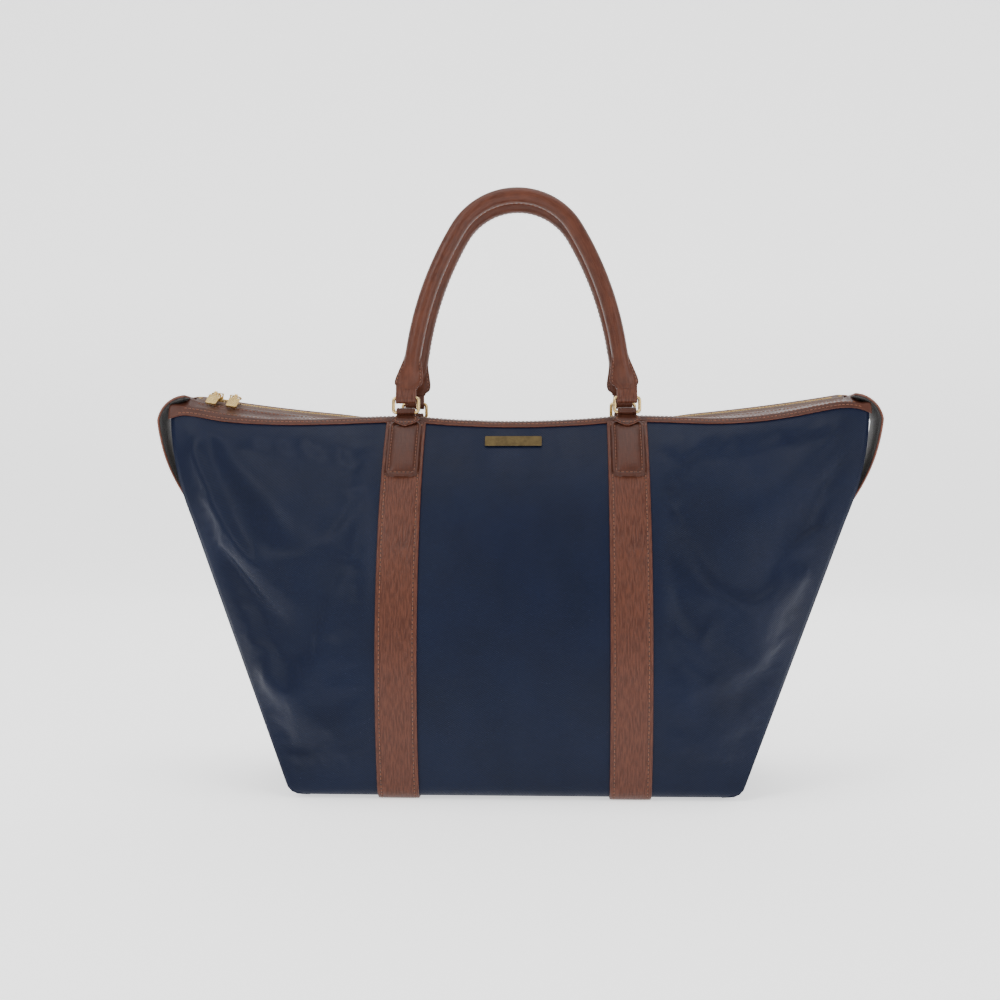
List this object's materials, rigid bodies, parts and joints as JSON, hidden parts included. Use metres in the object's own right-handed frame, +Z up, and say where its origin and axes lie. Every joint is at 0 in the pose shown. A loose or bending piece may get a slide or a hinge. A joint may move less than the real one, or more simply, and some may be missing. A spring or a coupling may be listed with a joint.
{
  "type": "foldable tote bag",
  "caption": "Foldable travel tote: navy nylon body with flared ends, leather straps, rolled handles on brass rings, a curved top zip and fastened end straps.",
  "frame": {"origin": "centre of the underside, on the surface that the bag stands on", "axes": "+X along the bag to its right end seen from the front, +Y to the rear, +Z up"},
  "size_m": [0.644, 0.241, 0.5265],
  "materials": {
    "nylon_navy": "fine nylon twill, soft sheen",
    "brown_leather": "fine ridged grain, semi-matt, stitched edges",
    "pale_brass": "polished light gold plating",
    "antique_brass": "brushed dark antique brass",
    "lining_cloth": "plain woven lining",
    "strap_lining_cloth": "dark grey backing",
    "zip_tape_cloth": "woven herringbone tape",
    "rope_core": "twisted filler cord",
    "backing_steel": "stamped washer plate"
  },
  "bodies": {
    "root": {"base_panel": "nylon_navy", "base_strap_left": "brown_leather", "base_strap_right": "brown_leather", "brass_plate": "antique_brass", "front_chape_left": "brown_leather", "front_chape_right": "brown_leather", "front_pad_left": "brown_leather", "front_pad_right": "brown_leather", "front_panel": "nylon_navy", "front_strap_left": "brown_leather", "front_strap_right": "brown_leather", "front_top_binding": "brown_leather", "front_zip_facing": "brown_leather", "front_zip_tape": "zip_tape_cloth", "front_zip_teeth": "pale_brass", "left_gusset": "nylon_navy", "left_side_tab": "brown_leather", "left_stud_socket": "pale_brass", "lining": "lining_cloth", "plate_backing": "backing_steel", "rear_chape_left": "brown_leather", "rear_chape_right": "brown_leather", "rear_pad_left": "brown_leather", "rear_pad_right": "brown_leather", "rear_panel": "nylon_navy", "rear_strap_left": "brown_leather", "rear_strap_right": "brown_leather", "rear_top_binding": "brown_leather", "rear_zip_facing": "brown_leather", "rear_zip_tape": "zip_tape_cloth", "rear_zip_teeth": "pale_brass", "right_gusset": "nylon_navy", "right_side_tab": "brown_leather", "right_stud_socket": "pale_brass", "zip_end_stops": "pale_brass"},
    "front_handle": {"front_handle": "brown_leather", "front_handle_core": "rope_core"},
    "rear_handle": {"rear_handle": "brown_leather", "rear_handle_core": "rope_core"},
    "front_ring_left": {"front_ring_left": "pale_brass"},
    "rear_ring_left": {"rear_ring_left": "pale_brass"},
    "slider_left": {"slider_left": "pale_brass"},
    "pull_link_left": {"pull_link_left": "pale_brass"},
    "pull_tab_left": {"pull_tab_left": "pale_brass"},
    "left_side_ring": {"left_side_ring": "pale_brass"},
    "left_end_strap": {"left_end_strap": "brown_leather", "left_end_strap_lining": "strap_lining_cloth", "left_stud_cap": "pale_brass"},
    "front_ring_right": {"front_ring_right": "pale_brass"},
    "rear_ring_right": {"rear_ring_right": "pale_brass"},
    "slider_right": {"slider_right": "pale_brass"},
    "pull_link_right": {"pull_link_right": "pale_brass"},
    "pull_tab_right": {"pull_tab_right": "pale_brass"},
    "right_side_ring": {"right_side_ring": "pale_brass"},
    "right_end_strap": {"right_end_strap": "brown_leather", "right_end_strap_lining": "strap_lining_cloth", "right_stud_cap": "pale_brass"}
  },
  "joints": [
    {"name": "front_ring_left_swing", "type": "hinge", "parent": "root", "child": "front_ring_left", "pos_m": [-0.0965, -0.0395, 0.3265], "axis": [1, 0, 0], "range_deg": [0, 45]},
    {"name": "front_ring_right_swing", "type": "hinge", "parent": "root", "child": "front_ring_right", "pos_m": [0.0965, -0.0395, 0.3265], "axis": [1, 0, 0], "range_deg": [0, 45]},
    {"name": "front_handle_swing", "type": "hinge", "parent": "front_ring_left", "child": "front_handle", "pos_m": [-0.0965, -0.03838, 0.33925], "axis": [1, 0, 0], "range_deg": [0, 85]},
    {"name": "rear_ring_left_swing", "type": "hinge", "parent": "root", "child": "rear_ring_left", "pos_m": [-0.0965, 0.0395, 0.3265], "axis": [-1, 0, 0], "range_deg": [0, 45]},
    {"name": "rear_ring_right_swing", "type": "hinge", "parent": "root", "child": "rear_ring_right", "pos_m": [0.0965, 0.0395, 0.3265], "axis": [-1, 0, 0], "range_deg": [0, 45]},
    {"name": "rear_handle_swing", "type": "hinge", "parent": "rear_ring_left", "child": "rear_handle", "pos_m": [-0.0965, 0.03771, 0.33918], "axis": [-1, 0, 0], "range_deg": [0, 85]},
    {"name": "slider_left_travel", "type": "hinge", "parent": "root", "child": "slider_left", "pos_m": [0, 0, 2.071], "axis": [0, 1, 0], "range_deg": [0, 0.34]},
    {"name": "slider_right_travel", "type": "hinge", "parent": "root", "child": "slider_right", "pos_m": [0, 0, 2.071], "axis": [0, -1, 0], "range_deg": [0, 17.6]},
    {"name": "pull_link_left_flip", "type": "hinge", "parent": "slider_left", "child": "pull_link_left", "pos_m": [-0.26926, 0, 0.34498], "axis": [-0.0399, 0.9659, -0.2557], "range_deg": [0, 75]},
    {"name": "pull_tab_left_lift", "type": "hinge", "parent": "pull_link_left", "child": "pull_tab_left", "pos_m": [-0.27296, -0.00377, 0.34657], "axis": [-0.988, 0, 0.1541], "range_deg": [0, 110]},
    {"name": "pull_link_right_flip", "type": "hinge", "parent": "slider_right", "child": "pull_link_right", "pos_m": [-0.2585, 0, 0.34333], "axis": [0.0383, -0.9659, 0.256], "range_deg": [0, 75]},
    {"name": "pull_tab_right_lift", "type": "hinge", "parent": "pull_link_right", "child": "pull_tab_right", "pos_m": [-0.25449, -0.00377, 0.34375], "axis": [-0.989, 0, 0.148], "range_deg": [0, 110]},
    {"name": "left_side_ring_tip", "type": "hinge", "parent": "root", "child": "left_side_ring", "pos_m": [-0.29989, 0, 0.279], "axis": [0, -1, 0], "range_deg": [-2, 10]},
    {"name": "left_end_strap_open", "type": "hinge", "parent": "root", "child": "left_end_strap", "pos_m": [-0.297, 0, 0.3425], "axis": [0, 1, 0], "range_deg": [0, 75]},
    {"name": "right_side_ring_tip", "type": "hinge", "parent": "root", "child": "right_side_ring", "pos_m": [0.29989, 0, 0.279], "axis": [0, 1, 0], "range_deg": [-2, 10]},
    {"name": "right_end_strap_open", "type": "hinge", "parent": "root", "child": "right_end_strap", "pos_m": [0.297, 0, 0.3425], "axis": [0, -1, 0], "range_deg": [0, 75]}
  ],
  "couplings": [
    {"joint": "front_ring_right_swing", "follows": "front_ring_left_swing", "ratio": 1},
    {"joint": "rear_ring_right_swing", "follows": "rear_ring_left_swing", "ratio": 1}
  ]
}
